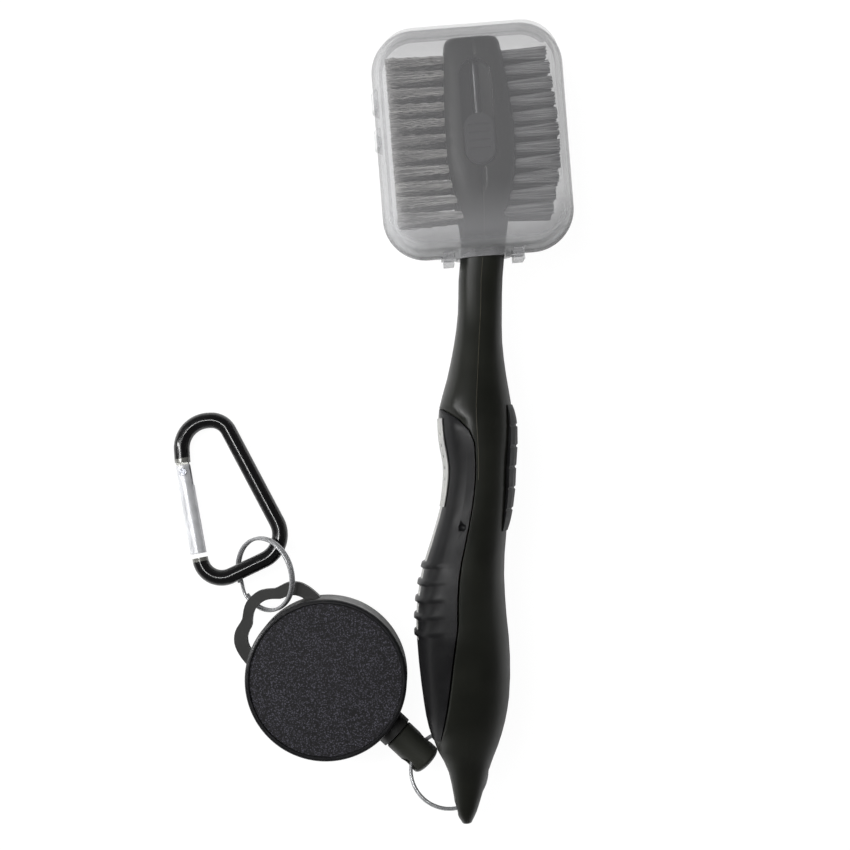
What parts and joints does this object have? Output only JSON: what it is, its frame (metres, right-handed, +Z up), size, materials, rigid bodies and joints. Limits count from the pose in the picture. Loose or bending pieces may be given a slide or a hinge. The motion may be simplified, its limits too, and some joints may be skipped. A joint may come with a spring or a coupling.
{
  "type": "club groove brush",
  "caption": "Two-sided golf club brush with slide-out groove pick, hinged clear case, curved grip handle, pull-cord belt reel and small carabiner.",
  "frame": {"origin": "centre of the flat back of the closed case, which rests on the table with the brush lying on its side", "axes": "+Z up out of the table, +Y along the brush towards the tip of its head, +X towards the nylon tufts"},
  "size_m": [0.1049, 0.1963, 0.027],
  "materials": {
    "black_plastic": "satin",
    "soft_grip": "matt",
    "pad_rubber": "matt",
    "wire_bristle": "fine bristle",
    "nylon_bristle": "fine bristle",
    "slider_plastic": "satin",
    "pick_steel": "bright",
    "frosted_case": "frosted, translucent",
    "ring_steel": "bright",
    "connector_plastic": "satin",
    "cord": "braided",
    "reel_plastic": "satin",
    "grained_face": "grained",
    "spool_plastic": "natural acetal",
    "spring_steel": "spring temper",
    "black_alloy": "black anodised",
    "gate_alloy": "satin"
  },
  "bodies": {
    "brush": {"wire_side_body": "black_plastic", "nylon_side_body": "black_plastic", "finger_grip": "soft_grip", "finger_pad": "pad_rubber", "thumb_pad": "pad_rubber", "wire_tufts": "wire_bristle", "nylon_tufts": "nylon_bristle", "case_back": "frosted_case", "hinge_straps": "frosted_case"},
    "pick": {"pick_slider": "slider_plastic", "groove_pick": "pick_steel"},
    "case_lid": {"case_front": "frosted_case"},
    "tail_ring": {"tail_ring": "ring_steel"},
    "connector": {"cord_connector": "connector_plastic", "cord_knot": "cord", "pull_cord": "cord"},
    "reel": {"reel_housing": "reel_plastic", "reel_cover": "reel_plastic", "face_disc": "grained_face", "cord_eyelet": "ring_steel", "reel_post": "spring_steel", "return_spring": "spring_steel"},
    "spool": {"cord_spool": "spool_plastic", "wound_cord": "cord"},
    "reel_ring": {"reel_ring": "ring_steel"},
    "carabiner": {"carabiner_body": "black_alloy", "gate_rivet": "ring_steel"},
    "gate": {"gate_tube": "gate_alloy", "gate_spring": "spring_steel"}
  },
  "joints": [
    {"name": "pick_slide", "type": "slide", "parent": "brush", "child": "pick", "axis": [0, 1, 0], "range_m": [0, 0.005]},
    {"name": "case_open", "type": "hinge", "parent": "brush", "child": "case_lid", "pos_m": [-0.024, 0, 0.0135], "axis": [0, -1, 0], "range_deg": [0, 175], "deforming": ["hinge_straps"]},
    {"name": "tail_ring_turn", "type": "hinge", "parent": "brush", "child": "tail_ring", "pos_m": [-0.01802, -0.15549, 0.00785], "axis": [0.0749, 0.3496, 0.9339], "range_deg": [0, 45]},
    {"name": "connector_tilt", "type": "hinge", "parent": "tail_ring", "child": "connector", "pos_m": [-0.0258, -0.1502, 0.0065], "axis": [0.5694, 0.7538, -0.3279], "range_deg": [0, 12]},
    {"name": "cord_pull", "type": "slide", "parent": "connector", "child": "reel", "axis": [-0.673, 0.7396, 0], "range_m": [0, 0.6], "stiffness_N_per_m": 1, "springref_m": -1, "deforming": ["pull_cord", "return_spring"]},
    {"name": "spool_spin", "type": "hinge", "parent": "reel", "child": "spool", "pos_m": [-0.04665, -0.12996, 0.0065], "axis": [0, 0, -1], "range_deg": [0, 3000]},
    {"name": "reel_ring_turn", "type": "hinge", "parent": "reel", "child": "reel_ring", "pos_m": [-0.06021, -0.10306, 0.00675], "axis": [0.6191, 0.0999, -0.7789], "range_deg": [0, 40]},
    {"name": "carabiner_lift", "type": "hinge", "parent": "reel_ring", "child": "carabiner", "pos_m": [-0.0635, -0.1008, 0.00475], "axis": [0.915, 0.4035, 0], "range_deg": [0, 30]},
    {"name": "gate_open", "type": "hinge", "parent": "carabiner", "child": "gate", "pos_m": [-0.07902, -0.07602, 0.00278], "axis": [-0.0274, 0.0622, 0.9977], "range_deg": [0, 22], "stiffness_Nm_per_rad": 0.02, "springref_deg": -34.38}
  ],
  "couplings": [
    {"joint": "spool_spin", "follows": "cord_pull", "rad_per_m": 84}
  ]
}
